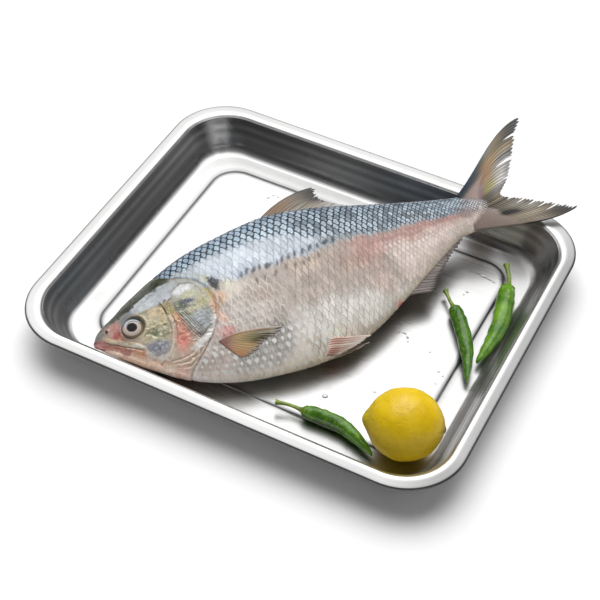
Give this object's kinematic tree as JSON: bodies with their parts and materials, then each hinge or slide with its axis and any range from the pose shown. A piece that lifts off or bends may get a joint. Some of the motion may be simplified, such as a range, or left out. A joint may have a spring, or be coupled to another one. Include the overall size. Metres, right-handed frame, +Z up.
{
  "type": "whole fish in tray",
  "caption": "Deep-bodied silver fish with forked tail lying whole in a shallow rectangular steel tray, garnished with a lemon and green chillies, as raw food ready to cook.",
  "frame": {"origin": "under the middle of the whole object's bounding box, in the plane of the tray's foot", "axes": "+X along the tray's long side towards the lemon and the chillies, +Y to the long side that the fish's tail crosses, +Z up"},
  "size_m": [0.4, 0.4016, 0.0807],
  "materials": {
    "steel": "bright stainless steel, faintly brushed",
    "fish_skin": "wet silver scales, blue-black back, rosy flank",
    "lemon_peel": "waxy pitted yellow peel",
    "chilli_skin": "shiny green skin"
  },
  "bodies": {
    "root": {"tray": "steel", "fish": "fish_skin", "lemon": "lemon_peel", "chilli_front": "chilli_skin", "chilli_middle": "chilli_skin", "chilli_right": "chilli_skin"}
  },
  "joints": []
}
